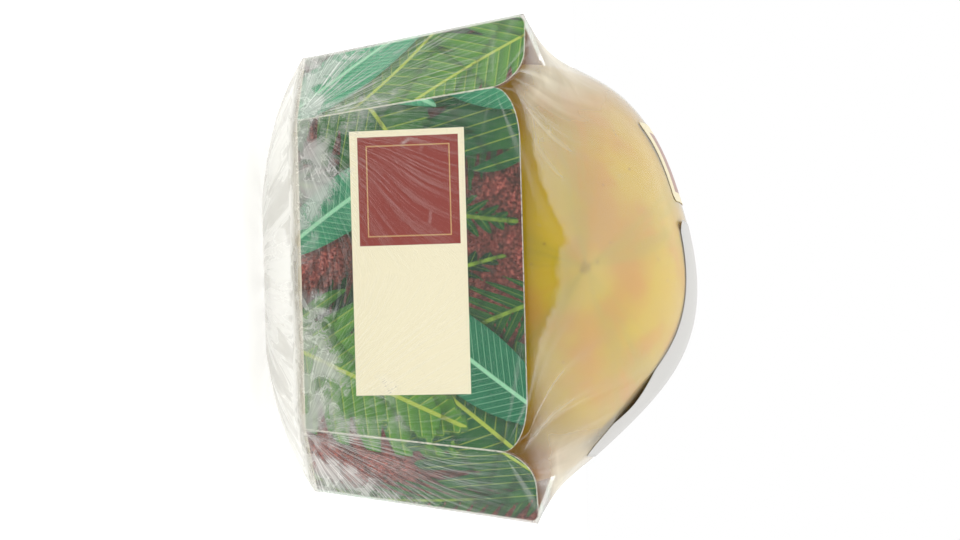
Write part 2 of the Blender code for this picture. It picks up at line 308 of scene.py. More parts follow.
colour = blend(tree, scar, colour, linear("#6B4A2C"))
rub = add(tree, "ShaderNodeTexNoise", {"Vector": place, "Scale": 900.0, "Detail": 2.0})
relief = maths(tree, "ADD", maths(tree, "MULTIPLY", rub.outputs["Fac"], 0.3), speck)
bump = add(tree, "ShaderNodeBump", {"Height": relief, "Distance": 0.00002, "Strength": 0.5})
shader = add(
    tree,
    "ShaderNodeBsdfPrincipled",
    {
        "Base Color": colour,
        "Roughness": span(tree, rub.outputs["Fac"], 0.3, 0.7, 0.38, 0.5),
        "IOR": 1.30,
        "Subsurface Weight": 0.12,
        "Subsurface Scale": 0.003,
        "Normal": bump.outputs[0],
    },
)
shader.inputs["Subsurface Radius"].default_value = (1.0, 0.55, 0.15)
tree.links.new(shader.outputs[0], out.inputs["Surface"])

fruit = put_mesh("papaya_skin", points, ring_faces(SKIN_ALONG, SKIN_AROUND), peel)
grown_values = np.stack([along / math.pi, np.cos(FRUIT_RIBS * (around - FIRST_RIB)), 0 * along], axis=-1)
keep(fruit, "grown", with_ends(grown_values, (0.0, 0.0, 0.0), (1.0, 0.0, 0.0)))
lengthways = np.stack([7 * np.cos(around), 7 * np.sin(around), 2.2 * along], axis=-1)
keep(fruit, "lengthways", with_ends(lengthways, (0.0, 0.0, 0.0), (0.0, 0.0, 7.0)))
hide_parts("papaya")
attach(fruit, "root")

# The carton cradle is one blank of microflute board: a lacquered print outside, a fluted brown core and a plain
# kraft liner inside. It was die-cut, folded up into eight leaning walls and glued; the fruit has bowed its floor.
WALL_HEIGHT = 0.0635
FLOOR_HALF = (0.0630, 0.0760)
FLOOR_CHAMFER = 0.0190
RIM_HALF = (0.0728, 0.0850)
RIM_CHAMFER = 0.0210
FLOOR_BOW = 0.0100
FLAT_SHARE = 0.30
END_CURVE = (0.0160, 0.0080)
LOBE_CURVE = (0.0135, 0.0095)
LOBE_OUTER_CURVE = (0.0050, 0.0030)
LOBE_RISE = 0.0015
CUT_WIDTH = 0.0004
CURVE_COLUMNS = 12
COLUMN_STEP = 0.0008
LINER = 0.0002
BOARD = 0.0013
PLY_GAP = 0.00002
FOLD_REACH = 0.0012
FOLD_ROUND = 0.00035
FLOOR_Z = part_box("carton_cradle")[0].z + FLOOR_BOW


def octagon(half, chamfer, grow):
    """Corners of a rectangle with 45 degree chamfers, grown outwards, anticlockwise from the front's left."""
    hx, hy = half[0] + grow, half[1] + grow
    cut = chamfer + grow * (2 - math.sqrt(2))
    return np.array(
        [(-hx + cut, -hy), (hx - cut, -hy), (hx, -hy + cut), (hx, hy - cut)]
        + [(hx - cut, hy), (-hx + cut, hy), (-hx, hy - cut), (-hx, -hy + cut)]
    )


def bow_share(share):
    """One less the square of the way out past the flat spot: 1 on the spot and 0 at the floor's edge."""
    out = np.maximum(0.0, (share - FLAT_SHARE) / (1 - FLAT_SHARE))
    return 1 - out**2


def rounded_drop(from_fold, curve):
    """Depth of a quarter-ellipse corner below the wall's top at a distance from the fold."""
    share = np.clip(1.0 - from_fold / curve[0], 0.0, 1.0)
    return curve[1] * (1.0 - np.sqrt(1.0 - share**2))


def wall_heights(wall, place, length):
    """Height of the cut edge along a wall: the top less the rounded drops at its two folds."""
    if wall % 4 == 2:
        fold = WALL_HEIGHT + LOBE_RISE - LOBE_OUTER_CURVE[1]
        return np.where(np.minimum(place, length - place) < CUT_WIDTH / 2, fold, WALL_HEIGHT)
    if wall % 4 == 0:
        return WALL_HEIGHT - rounded_drop(place, END_CURVE) - rounded_drop(length - place, END_CURVE)
    first, second = (LOBE_CURVE, LOBE_OUTER_CURVE) if wall % 4 == 1 else (LOBE_OUTER_CURVE, LOBE_CURVE)
    return WALL_HEIGHT + LOBE_RISE - rounded_drop(place, first) - rounded_drop(length - place, second)


def wall_places(wall, length):
    """Columns along a wall's rim: close together by the rounded corners, even in the middle, without the last."""
    if wall % 4 == 2:
        inner = np.linspace(CUT_WIDTH, length - CUT_WIDTH, int(length / COLUMN_STEP))
        return np.concatenate([[0.0], inner])
    widths = {0: (END_CURVE, END_CURVE), 1: (LOBE_CURVE, LOBE_OUTER_CURVE), 3: (LOBE_OUTER_CURVE, LOBE_CURVE)}
    first, second = widths[wall % 4]
    turn = 1 - np.cos(np.linspace(0, math.pi / 2, CURVE_COLUMNS + 1))
    start, end = first[0] * turn, length - second[0] * turn[::-1]
    count = max(2, int((end[0] - start[-1]) / COLUMN_STEP))
    middle = np.linspace(start[-1], end[0], count + 1)[1:-1]
    return np.concatenate([start, middle, end[:-1]])


rim_corners = octagon(RIM_HALF, RIM_CHAMFER, 0.0)
rim_lengths = np.linalg.norm(np.roll(rim_corners, -1, axis=0) - rim_corners, axis=1)
floor_corners = octagon(FLOOR_HALF, FLOOR_CHAMFER, 0.0)
foot_lengths = np.linalg.norm(np.roll(floor_corners, -1, axis=0) - floor_corners, axis=1)
mid_lengths = (rim_lengths + foot_lengths) / 2
wall_centres = np.concatenate([[0.0], np.cumsum((mid_lengths[:-1] + mid_lengths[1:]) / 2)])
column_wall = []
column_share = []
column_height = []
for wall in range(8):
    places = wall_places(wall, rim_lengths[wall])
    column_wall.append(np.full(len(places), wall))
    column_share.append(places / rim_lengths[wall])
    column_height.append(wall_heights(wall, places, rim_lengths[wall]))
column_wall = np.concatenate(column_wall)
column_share = np.concatenate(column_share)
column_height = np.concatenate(column_height)
column_fold = np.minimum(column_share, 1 - column_share) * rim_lengths[column_wall]


def tray_rings(inset, wall_rows, floor_shares, head_drop=0.0):
    """Rings of a tray's shell, from the floor's middle out and up to the cut edge. Each wall point lies on the
    straight line from its foot to its head, and folds are rounded by pulling points in near them."""
    floor, rim = octagon(FLOOR_HALF, FLOOR_CHAMFER, -inset), octagon(RIM_HALF, RIM_CHAMFER, -inset)
    after = (column_wall + 1) % 8
    share = column_share[:, None]
    low = floor[column_wall] * (1 - share) + floor[after] * share
    high = rim[column_wall] * (1 - share) + rim[after] * share
    pull = FOLD_ROUND * np.maximum(0.0, 1 - column_fold / FOLD_REACH) ** 2
    low = low - low / np.linalg.norm(low, axis=1, keepdims=True) * pull[:, None]
    high = high - high / np.linalg.norm(high, axis=1, keepdims=True) * pull[:, None]
    rings = []
    for out in floor_shares:
        flat = low * out
        rings.append(np.column_stack([flat, np.full(len(flat), FLOOR_Z + inset - FLOOR_BOW * bow_share(out))]))
    for up in wall_rows:
        height = inset + (column_height - head_drop - inset) * up
        place = low + (high - low) * (height / WALL_HEIGHT)[:, None]
        rings.append(np.column_stack([place, FLOOR_Z + height]))
    return np.array(rings)


def tray_ply(name, outer, inner, wall_rows, head_drop, finish):
    """One closed ply of the board: an outer shell up to the cut edge, and an inner one back down."""
    floor_shares = np.array([0.10, 0.30, 0.42, 0.54, 0.66, 0.78, 0.90])
    outside = tray_rings(outer, wall_rows, floor_shares, head_drop)
    inside = tray_rings(inner, np.linspace(0, 1, 5), floor_shares, head_drop)[::-1]
    middle = FLOOR_Z - FLOOR_BOW
    rings = np.concatenate([outside, inside])
    points = with_ends(rings, (0.0, 0.0, middle + outer), (0.0, 0.0, middle + inner))
    return put_mesh(name, points, ring_faces(len(rings), len(column_wall)), finish), rings


# Brown test liner and fluting: dull kraft fibre, the flutes seen at the cut edge as a fine wave of painted channel
# shade
FLUTE_MM = 1.9
kraft, tree, out = new_finish("kraft fluting")
place = add(tree, "ShaderNodeTexCoord").outputs["Object"]
fibre = add(tree, "ShaderNodeTexNoise", {"Vector": place, "Scale": 700.0, "Detail": 5.0, "Roughness": 0.7})
patch = add(tree, "ShaderNodeTexNoise", {"Vector": place, "Scale": 60.0, "Detail": 2.0})
colour = blend(tree, fibre.outputs["Fac"], linear("#6E5440"), linear("#A88664"))
colour = blend(tree, span(tree, patch.outputs["Fac"], 0.4, 0.7, 0.0, 0.35), colour, linear("#8A6C58"))
# The darker half of each flute pitch is painted shade in the open channel between the crests, not a darker paper
flute_channel_shade = maths(tree, "SINE", maths(tree, "MULTIPLY", read(tree, "blank").outputs["Fac"], 2 * math.pi / FLUTE_MM))
colour = blend(tree, span(tree, flute_channel_shade, 0.0, 1.0, 0.0, 0.45), colour, linear("#4C382A"))
bump = add(tree, "ShaderNodeBump", {"Height": fibre.outputs["Fac"], "Distance": 0.0002, "Strength": 0.5})
shader = add(
    tree,
    "ShaderNodeBsdfPrincipled",
    {"Base Color": colour, "Roughness": 0.85, "IOR": 1.45, "Normal": bump.outputs[0]},
)
tree.links.new(shader.outputs[0], out.inputs["Surface"])

core_rows = np.linspace(0, 1, 6)
fluted_core, core_rings = tray_ply(
    "fluted_core", LINER + PLY_GAP, BOARD - LINER - PLY_GAP, core_rows, 0.00015, kraft
)
fold_start = np.concatenate([[0.0], np.cumsum(rim_lengths)[:-1]])
run_mm = 1000 * (fold_start[column_wall] + column_share * rim_lengths[column_wall])
keep(fluted_core, "blank", with_ends(np.tile(run_mm, (len(core_rings), 1))[..., None], 0.0, 0.0))
inner_liner, inner_rings = tray_ply("inner_liner", BOARD - LINER, BOARD, core_rows, 0.0, kraft)
keep(inner_liner, "blank", with_ends(np.zeros((len(inner_rings), len(run_mm), 1)), 0.0, 0.0))

# The printed liner wraps the outside of the walls in a plain jungle print: split leaves, broad blades and feather
# fronds over a grainy reddish-brown ground, with a bare cream panel on the front. The floor is unprinted.
PANEL_FROM = (-40.0, 15.0)
PANEL_TO = (34.5, 48.2)
SQUARE_FROM = (-38.2, 17.3)
SQUARE_TO = (-7.6, 46.4)
VEIN_MM = {"frond": 2.4, "split": 3.6, "blade": 2.2}
PRINT_EDGE_MM = 0.10
GRAIN_MM = 0.9


def leaf_frame(across, up, root, heading, bend):
    """Coordinates along and across a leaf that starts at its root and curves evenly to one side."""
    dx, dy = across - root[0], up - root[1]
    run = dx * math.cos(heading) + dy * math.sin(heading)
    side = dy * math.cos(heading) - dx * math.sin(heading)
    return run, side - bend * run**2


def blade_leaf(run, side, length, width):
    """A long pointed leaf: half width follows a sine skewed to the root. Positive inside, in millimetres."""
    share = np.clip(run / length, 0.0, 1.0)
    half = width * np.sin(math.pi * share**0.8) ** 0.85
    beyond = np.maximum(-run, run - length)
    return np.where(beyond > 0, -beyond, half - np.abs(side)), run - np.abs(side) * 0.9


def split_leaf(run, side, length, width):
    """A broad leaf with slits between its lobes: the sine outline, cut by slanting gaps that widen outwards."""
    share = np.clip(run / length, 0.0, 1.0)
    half = width * np.sin(math.pi * share**0.62) ** 0.6
    slanted = run - np.abs(side) * 0.62
    pitch = length / 6.5
    from_gap = (0.5 - np.abs(slanted / pitch - np.floor(slanted / pitch) - 0.5)) * pitch
    gap = 0.20 * np.maximum(0.0, np.abs(side) - 0.38 * half)
    beyond = np.maximum(-run, run - length)
    body = np.minimum(half - np.abs(side), np.where(np.abs(side) > 0.38 * half, from_gap - gap, 9.0))
    return np.where(beyond > 0, -beyond, body), slanted


def frond_leaf(run, side, length, width):
    """A feather frond: slim leaflets that slant forwards from a rib, each thinning to its tip."""
    share = np.clip(run / length, 0.0, 1.0)
    half = width * np.sin(math.pi * share**0.7) ** 0.7 + 0.1
    slanted = run - np.abs(side) * 1.1
    pitch = 4.6
    from_line = np.abs(slanted / pitch - np.floor(slanted / pitch) - 0.5) * pitch
    leaflet = 1.9 * (1 - np.clip(np.abs(side) / half, 0, 1) ** 2.2) - from_line
    beyond = np.maximum(-run, run - length)
    body = np.maximum(np.minimum(leaflet, half - np.abs(side)), 0.55 - np.abs(side))
    return np.where(beyond > 0, -beyond, body), slanted


LEAF_SHAPES = {"frond": frond_leaf, "split": split_leaf, "blade": blade_leaf}
# Each layer's leaves: spacing along the blank, root heights, lean from upright, length and half width
LEAF_LAYERS = {
    "frond": {"step": 27.0, "roots": (-9.0, 74.0), "lean": 0.70, "length": (62.0, 84.0), "half": (11.0, 14.0)},
    "split": {"step": 50.0, "roots": (-6.0, 71.0), "lean": 0.95, "length": (56.0, 70.0), "half": (21.0, 26.0)},
    "blade": {"step": 41.0, "roots": (-8.0, 72.0), "lean": 0.85, "length": (50.0, 72.0), "half": (7.5, 11.0)},
}


def leaf_layer(kind, across, up, seed):
    """The layer's leaf that lies deepest over each point: how far inside it is, its slanted run, how far to one
    side of its rib, and its tone. Leaves take turns to grow up from the foot and down from the rim."""
    draw = np.random.default_rng(seed)
    layer = LEAF_LAYERS[kind]
    best = np.full(across.shape, -99.0)
    slant, rib, tone = np.zeros(across.shape), np.zeros(across.shape), np.zeros(across.shape)
    span_mm = wall_centres[-1] * 1000 + 60
    for count, start in enumerate(np.arange(-80.0, span_mm, layer["step"])):
        rises = count % 2 == 0
        root = (start + draw.uniform(-0.22, 0.22) * layer["step"], layer["roots"][0 if rises else 1])
        lean = draw.uniform(0.25, layer["lean"]) * draw.choice([-1, 1])
        heading = (math.pi / 2 if rises else -math.pi / 2) + lean
        run, side = leaf_frame(across, up, root, heading, draw.uniform(-0.004, 0.004))
        inside, slanted = LEAF_SHAPES[kind](run, side, draw.uniform(*layer["length"]), draw.uniform(*layer["half"]))
        over = inside > best
        best = np.where(over, inside, best)
        slant, rib = np.where(over, slanted, slant), np.where(over, side, rib)
        tone = np.where(over, draw.uniform(0, 1), tone)
    return np.stack([best, slant, rib], axis=-1), tone[..., None]


# Offset print on a coated liner under a thin gloss lacquer: saturated, slightly grainy ink that cracks to white
# along folds and cut edges
print_lacquer, tree, out = new_finish("lacquered offset print")
blank = add(tree, "ShaderNodeSeparateXYZ", {0: read(tree, "blank").outputs["Vector"]})
across_mm, up_mm, fold_mm = blank.outputs[0], blank.outputs[1], blank.outputs[2]
flat = add(tree, "ShaderNodeCombineXYZ", {0: across_mm, 1: up_mm}).outputs[0]
grain = add(tree, "ShaderNodeTexNoise", {"Vector": flat, "Scale": 1 / GRAIN_MM, "Detail": 5.0, "Roughness": 0.75})
lump = add(tree, "ShaderNodeTexVoronoi", {"Vector": flat, "Scale": 0.8 / GRAIN_MM, "Randomness": 1.0})
colour = blend(tree, span(tree, grain.outputs["Fac"], 0.36, 0.64), linear("#4E1A18"), linear("#B8675A"))
colour = blend(tree, span(tree, lump.outputs["Distance"], 0.30, 0.75, 0.0, 0.6), colour, linear("#4A1E1C"))
INKS = {
    "frond": ("#12321F", "#2E662F", "#7F9E3A"),
    "split": ("#1A5232", "#558C30", "#A9BA4E"),
    "blade": ("#1E6A4A", "#46A276", "#97D2AA"),
}
for kind in ("frond", "split", "blade"):
    dark, light, vein_ink = (linear(code) for code in INKS[kind])
    leaf = add(tree, "ShaderNodeSeparateXYZ", {0: read(tree, "leaf_" + kind).outputs["Vector"]})
    inside, slanted, from_rib = leaf.outputs[0], leaf.outputs[1], maths(tree, "ABSOLUTE", leaf.outputs[2])
    shade = add(tree, "ShaderNodeTexNoise", {"Vector": flat, "Scale": 0.11, "Detail": 3.0})
    tone = maths(tree, "ADD", read(tree, "tone_" + kind).outputs["Fac"], shade.outputs["Fac"])
    ink = blend(tree, span(tree, tone, 0.45, 1.25), dark, light)
    phase = maths(tree, "FRACT", maths(tree, "DIVIDE", slanted, VEIN_MM[kind]))
    ridge = maths(tree, "ABSOLUTE", maths(tree, "SUBTRACT", phase, 0.5))
    vein = span(tree, ridge, 0.41, 0.48, 0.0, 0.5)
    pleat = span(tree, phase, 0.0, 1.0, 0.0, 0.5)
    ink = blend(tree, pleat, ink, dark)
    ink = blend(tree, vein, ink, vein_ink)
    ink = blend(tree, span(tree, from_rib, 0.75, 0.35), ink, vein_ink)
    rim_shade = span(tree, inside, 1.6, 0.0, 0.0, 0.45)
    ink = blend(tree, rim_shade, ink, dark)
    ink = blend(tree, span(tree, grain.outputs["Fac"], 0.35, 0.8, 0.0, 0.25), ink, light)
    # A leaf's soft shadow falls on what is printed under it
    colour = blend(tree, span(tree, inside, -3.2, 0.0, 0.0, 0.5), colour, linear("#10231A"))
    colour = blend(tree, span(tree, inside, -PRINT_EDGE_MM, PRINT_EDGE_MM), colour, ink)


def box_field(tree, across, up, low, high):
    """How far outside a rectangle a point lies: the larger of the two overshoots, negative inside."""
    sides = []
    for value, from_mm, to_mm in ((across, low[0], high[0]), (up, low[1], high[1])):
        off = maths(tree, "ABSOLUTE", maths(tree, "SUBTRACT", value, (from_mm + to_mm) / 2))
        sides.append(maths(tree, "SUBTRACT", off, (to_mm - from_mm) / 2))
    return maths(tree, "MAXIMUM", *sides)


panel = box_field(tree, across_mm, up_mm, PANEL_FROM, PANEL_TO)
square = box_field(tree, across_mm, up_mm, SQUARE_FROM, SQUARE_TO)
colour = blend(tree, span(tree, panel, 0.06, -0.06), colour, linear("#F1E9CB"))
brown_ink = blend(tree, grain.outputs["Fac"], linear("#862E26"), linear("#923A30"))
colour = blend(tree, span(tree, square, 0.06, -0.06), colour, brown_ink)
frame_line = maths(tree, "ABSOLUTE", maths(tree, "ADD", square, 2.6))
colour = blend(tree, span(tree, frame_line, 0.22, 0.12), colour, linear("#C49A66"))
crack = maths(tree, "MULTIPLY", span(tree, fold_mm, 0.42, 0.16), span(tree, grain.outputs["Fac"], 0.30, 0.55))
colour = blend(tree, maths(tree, "MULTIPLY", crack, 0.8), colour, linear("#E9E4D6"))
# The floor, below the foot of the walls, is left unprinted
colour = blend(tree, span(tree, up_mm, -0.2, -0.5), colour, linear("#E6DFCC"))
fine = add(tree, "ShaderNodeTexNoise", {"Vector": flat, "Scale": 4.0, "Detail": 3.0})
bump = add(tree, "ShaderNodeBump", {"Height": fine.outputs["Fac"], "Distance": 0.00001, "Strength": 0.4})
shader = add(
    tree,
    "ShaderNodeBsdfPrincipled",
    {
        "Base Color": colour,
        "Roughness": span(tree, fine.outputs["Fac"], 0.3, 0.7, 0.36, 0.46),
        "IOR": 1.35,
        "Normal": bump.outputs[0],
    },
)
tree.links.new(shader.outputs[0], out.inputs["Surface"])

print_rows = np.concatenate([[0.0, 0.006, 0.013], np.linspace(0.02, 1, 74)])
printed_liner, liner_rings = tray_ply("printed_liner", 0.0, LINER, print_rows, 0.0, print_lacquer)
slope = math.hypot(WALL_HEIGHT, RIM_HALF[1] - FLOOR_HALF[1]) / WALL_HEIGHT
up_mm = 1000 * (liner_rings[..., 2] - FLOOR_Z) * slope
wall_share = np.clip(liner_rings[..., 2] - FLOOR_Z, 0, None) / WALL_HEIGHT
here_length = foot_lengths[column_wall] + (rim_lengths - foot_lengths)[column_wall] * wall_share
across_mm = 1000 * (wall_centres[column_wall] + (column_share - 0.5) * here_length)
edge_mm = 1000 * np.minimum(
    np.minimum(column_share, 1 - column_share) * here_length, np.abs(FLOOR_Z + column_height - liner_rings[..., 2])
)
floor_part = np.zeros(up_mm.shape, dtype=bool)
floor_part[:7] = True
floor_part[-7:] = True
up_mm = np.where(floor_part, -5.0, np.maximum(up_mm, 0.0))
blank_values = np.stack([across_mm, up_mm, edge_mm], axis=-1)
keep(printed_liner, "blank", with_ends(blank_values, (0.0, -5.0, 9.0), (0.0, -5.0, 9.0)))
for seed, kind in ((11, "frond"), (23, "split"), (37, "blade")):
    leaf_values, tone_values = leaf_layer(kind, across_mm, up_mm, seed)
    keep(printed_liner, "leaf_" + kind, with_ends(leaf_values, (-9.0, 0.0, 9.0), (-9.0, 0.0, 9.0)))
    keep(printed_liner, "tone_" + kind, with_ends(tone_values, 0.5, 0.5))

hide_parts("carton_cradle")
for ply in (printed_liner, fluted_core, inner_liner):
    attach(ply, "root")

# The stretch film is one clear sheet, pulled over fruit and carton and gathered under the floor. It hugs the
# walls, dips a little into the notches, leans in from the rim to the skin and creases where it was pulled.
GAP = 0.0003
FILM = 0.0005
FILM_EASE = -0.00015
FILM_PAD = 0.0085
DRAW_IN = 0.75
CORE = np.array([0.0, 0.0, FLOOR_Z + 0.052])
FILM_COLUMNS = {0: 150, 1: 42, 2: 180, 3: 42}
UNDER_ROWS = 14
WALL_ROWS = 34
OVER_ROWS = 62
NOTCH_SAG = 0.55
WALL_EASE = 0.00035
FILM_MIRROR = 0.02
# Haze over the fruit, partly a painted reflection of the overhead tent: its clear arch, its milk and the side tents
HAZE_SHEEN_PEAK = 0.0135
HAZE_SHEEN_MIDDLE = -0.0074
HAZE_SHEEN_REACH = 0.046
HAZE_SHEEN_LEAST = 0.0025
HAZE_AND_SHEEN_MILK = 0.28
TENT_MILK_AND_SHEEN = 0.78

table_along = np.linspace(0, math.pi, 2000)
table_axial = np.maximum.accumulate(fruit_lengthways(table_along)) + np.arange(2000) * 1e-10


def outside_fruit(points):
    """True where a point lies outside the skin: the tilt and bend are undone, the angle from the blossom end is
    found from the place on the axis, and the distance from the axis is set against the breadth there."""
    body = tilted(points - np.array([0.0, 0.0, fruit_rise]), -FRUIT_TILT)
    axial = body[..., 1]
    along = np.interp(axial, table_axial, table_along)
    height = (body[..., 2] - FRUIT_BEND * (2 * axial / FRUIT_LENGTH) ** 2) / FRUIT_SQUASH
    around = np.arctan2(height, body[..., 0])
    beyond = (axial < table_axial[0]) | (axial > table_axial[-1])
    return beyond | (np.hypot(body[..., 0], height) > fruit_breadth(along, around))


def skin_reach(heading, angle):
    """Distance from the core to the skin in a direction, by halving the span between inside and outside."""
    level = np.cos(angle)
    ways = np.stack([heading[..., 0] * level, heading[..., 1] * level, np.sin(angle)], axis=-1)
    near, far = np.zeros(angle.shape), np.full(angle.shape, 0.15)
    for _ in range(28):
        middle = (near + far) / 2
        outside = outside_fruit(CORE + ways * middle[..., None])
        near, far = np.where(outside, near, middle), np.where(outside, middle, far)
    return (near + far) / 2


def smoothed(values, passes):
    """Values evened out along the columns, all the way round, by repeated quarter-half-quarter means."""
    for _ in range(passes):
        values = 0.5 * values + 0.25 * (np.roll(values, 1, axis=0) + np.roll(values, -1, axis=0))
    return values


film_wall = np.concatenate([np.full(FILM_COLUMNS[wall % 4], wall) for wall in range(8)])
film_share = np.concatenate([np.arange(FILM_COLUMNS[wall % 4]) / FILM_COLUMNS[wall % 4] for wall in range(8)])
film_after = (film_wall + 1) % 8


def film_octagon(half, chamfer, grow):
    """The film's columns on an octagon: each lies at its share of the way from one corner to the next."""
    corners = octagon(half, chamfer, grow)
    return corners[film_wall] * (1 - film_share[:, None]) + corners[film_after] * film_share[:, None]


film_place = film_share * rim_lengths[film_wall]
film_drop = np.zeros(len(film_wall))
for wall in (0, 1, 3, 4, 5, 7):
    here = film_wall == wall
    crest = WALL_HEIGHT + LOBE_RISE
    film_drop[here] = crest - wall_heights(wall, film_place[here], rim_lengths[wall])
film_drop[film_wall % 4 == 2] = LOBE_RISE
film_head = WALL_HEIGHT + LOBE_RISE + GAP - NOTCH_SAG * smoothed(film_drop, 6)

foot = film_octagon(FLOOR_HALF, FLOOR_CHAMFER, WALL_EASE)
head = film_octagon(RIM_HALF, RIM_CHAMFER, WALL_EASE)
rows = []
under_foot = film_octagon(FLOOR_HALF, FLOOR_CHAMFER, GAP + FILM)
turn_under = np.arctan2(under_foot[:, 1], under_foot[:, 0])
for share in np.linspace(0.06, 1.0, UNDER_ROWS) ** 0.9:
    depth = (FLOOR_BOW + FILM_PAD - FILM) * bow_share(share) + GAP + FILM
    flat = (under_foot if share < 1 else foot) * share
    place = np.column_stack([flat, np.zeros(len(flat))])
    pleats = 0.5 + 0.5 * np.sin(47 * turn_under + 3 * wander(place, 0.05, 81))
    pleats = pleats * (0.4 + 0.6 * (0.5 + 0.5 * wander(place, 0.02, 82)))
    lifted = 0.0004 * pleats * np.clip((share - 0.30) / 0.35, 0, 1) * np.clip((1.0 - share) / 0.12, 0, 1)
    rows.append(np.column_stack([flat, FLOOR_Z - depth + lifted]))
for up in np.linspace(0, 1, WALL_ROWS + 1)[1:]:
    height = film_head * up
    flat = foot + (head - foot) * (height / WALL_HEIGHT)[:, None]
    rows.append(np.column_stack([flat, FLOOR_Z + height]))

rim_line = rows[-1]
reach_flat = np.linalg.norm(rim_line[:, :2], axis=1)
heading = rim_line[:, :2] / reach_flat[:, None]
rim_angle = np.arctan2(rim_line[:, 2] - CORE[2], reach_flat)[:, None]
rim_reach = np.hypot(rim_line[:, 2] - CORE[2], reach_flat)[:, None]
over_share = (np.arange(1, OVER_ROWS + 1) / (OVER_ROWS + 1)) ** 1.15
angles = rim_angle + (math.pi / 2 - rim_angle) * over_share
skin_line = skin_reach(heading[:, None, :] + np.zeros((1, OVER_ROWS, 1)), angles) + GAP + FILM_EASE
ahead = angles - rim_angle
lean = np.arctan2(rim_reach - skin_line * np.cos(ahead), skin_line * np.sin(ahead))
touch = np.argmin(lean, axis=1)[:, None]
touch_ahead = np.take_along_axis(ahead, touch, axis=1)
touch_reach = np.take_along_axis(skin_line, touch, axis=1)
part = ahead / touch_ahead
tent = rim_reach * touch_reach * np.sin(touch_ahead)
tent = tent / (rim_reach * np.sin(ahead) + touch_reach * np.sin(np.maximum(touch_ahead - ahead, 1e-6)))
pull = DRAW_IN * (1 - (1 - np.clip(part, 0, 1)) ** 3)
over_reach = np.where(part < 1, skin_line + np.maximum(tent - skin_line, 0) * (1 - pull), skin_line)
over_reach = np.maximum(smoothed(over_reach, 8), skin_line)

# Creases run up from the four notches over the skin, fewer and softer with the distance
perimeter = rim_lengths.sum()
film_run = fold_start[film_wall] + film_place
notch_runs = fold_start[[0, 1, 4, 5]]
upward_line = np.stack([over_reach * np.cos(angles), over_reach * np.sin(angles)], axis=-1)
climb = np.linalg.norm(np.diff(upward_line, axis=1), axis=-1)
climb = np.cumsum(np.concatenate([np.zeros((len(angles), 1)), climb], axis=1), axis=1)


def nearest_fan(run, rise, centres, centre_rise):
    """Angle, distance and index seen from the nearest of several centres on the unrolled film."""
    away = (run[..., None] - centres + perimeter / 2) % perimeter - perimeter / 2
    index = np.argmin(np.abs(away), axis=-1)
    off = np.take_along_axis(away, index[..., None], axis=-1)[..., 0]
    up = rise - centre_rise
    return np.arctan2(off, up), np.hypot(off, up), index


fan_angle, fan_far, fan_index = nearest_fan(film_run[:, None] + 0 * climb, climb, notch_runs, -0.004)
crease_near = np.exp(-((fan_far - 0.016) / 0.022) ** 2)
crease = np.cos(26 * fan_angle + 5 * fan_index) * 0.6 + np.cos(43 * fan_angle + 2 + 3 * fan_index) * 0.4
level_reach = over_reach * np.cos(angles)
over_flat = heading[:, None, :] * level_reach[..., None]
over_place = np.concatenate([over_flat, (CORE[2] + over_reach * np.sin(angles))[..., None]], axis=-1)
billow = 0.5 + 0.5 * wander(over_place, 0.030, 61)
over_reach = over_reach + 0.00042 * (0.5 + 0.5 * crease) * crease_near * np.clip(climb / 0.004, 0, 1)
over_reach = over_reach + 0.0003 * billow * np.clip(1 - over_share, 0, 1) * np.clip(climb / 0.008, 0, 1)
for row in range(OVER_ROWS):
    out = over_reach[:, row] * np.cos(angles[:, row])
    rows.append(np.column_stack([heading * out[:, None], CORE[2] + over_reach[:, row] * np.sin(angles[:, row])]))
film_top = over_reach[:, -1].mean() + CORE[2]
film_rings = np.array(rows)

# Clear cling film: nearly colourless and very glossy, seen by its reflections, and milky white wherever it is
# stretched in fine lines or crumpled in many layers. Its stretch lines are partly painted highlights, and its haze
# over the fruit is partly a painted reflection of the bright overhead tent
cling, tree, out = new_finish("clear cling film")
marks = add(tree, "ShaderNodeSeparateXYZ", {0: read(tree, "marks").outputs["Vector"]})
place = add(tree, "ShaderNodeTexCoord").outputs["Object"]


def drawn_lines(name, low, high, detail):
    """Milky lines, partly painted highlights, where noise that is drawn out along the stretch passes a threshold."""
    grain_way = read(tree, name).outputs["Vector"]
    noise = add(tree, "ShaderNodeTexNoise", {"Vector": grain_way, "Detail": detail, "Roughness": 0.6, "Scale": 1.0})
    return span(tree, noise.outputs["Fac"], low, high)


# Stretch lines from the notches: milky film and, in part, painted highlights along the tension folds
fan_lines_and_highlights = maths(tree, "MULTIPLY", drawn_lines("fan", 0.46, 0.62, 5.0), marks.outputs[1])
pull_lines_and_highlights = maths(tree, "MULTIPLY", drawn_lines("pull", 0.48, 0.78, 1.5), marks.outputs[2])
gather_way = read(tree, "gather").outputs["Vector"]
crinkle = add(tree, "ShaderNodeTexNoise", {"Vector": gather_way, "Scale": 1.0, "Detail": 5.0, "Distortion": 0.9})
crumple = span(tree, maths(tree, "ADD", crinkle.outputs["Fac"], marks.outputs[0]), 0.62, 1.10)
crumple = maths(tree, "MULTIPLY", crumple, span(tree, marks.outputs[0], 0.62, 1.0, 0.40, 0.92))
crumple = maths(tree, "MULTIPLY", crumple, span(tree, crinkle.outputs["Fac"], 0.34, 0.66, 0.65, 1.0))
crease_line = maths(tree, "ABSOLUTE", maths(tree, "SUBTRACT", crinkle.outputs["Fac"], 0.5))
crease_line = maths(tree, "MULTIPLY", span(tree, crease_line, 0.022, 0.0), span(tree, marks.outputs[0], 0.08, 0.35))
mist = add(tree, "ShaderNodeTexNoise", {"Vector": place, "Scale": 55.0, "Detail": 3.0, "Distortion": 0.5})
misted = span(tree, mist.outputs["Fac"], 0.3, 0.65, 0.75, 1.0)
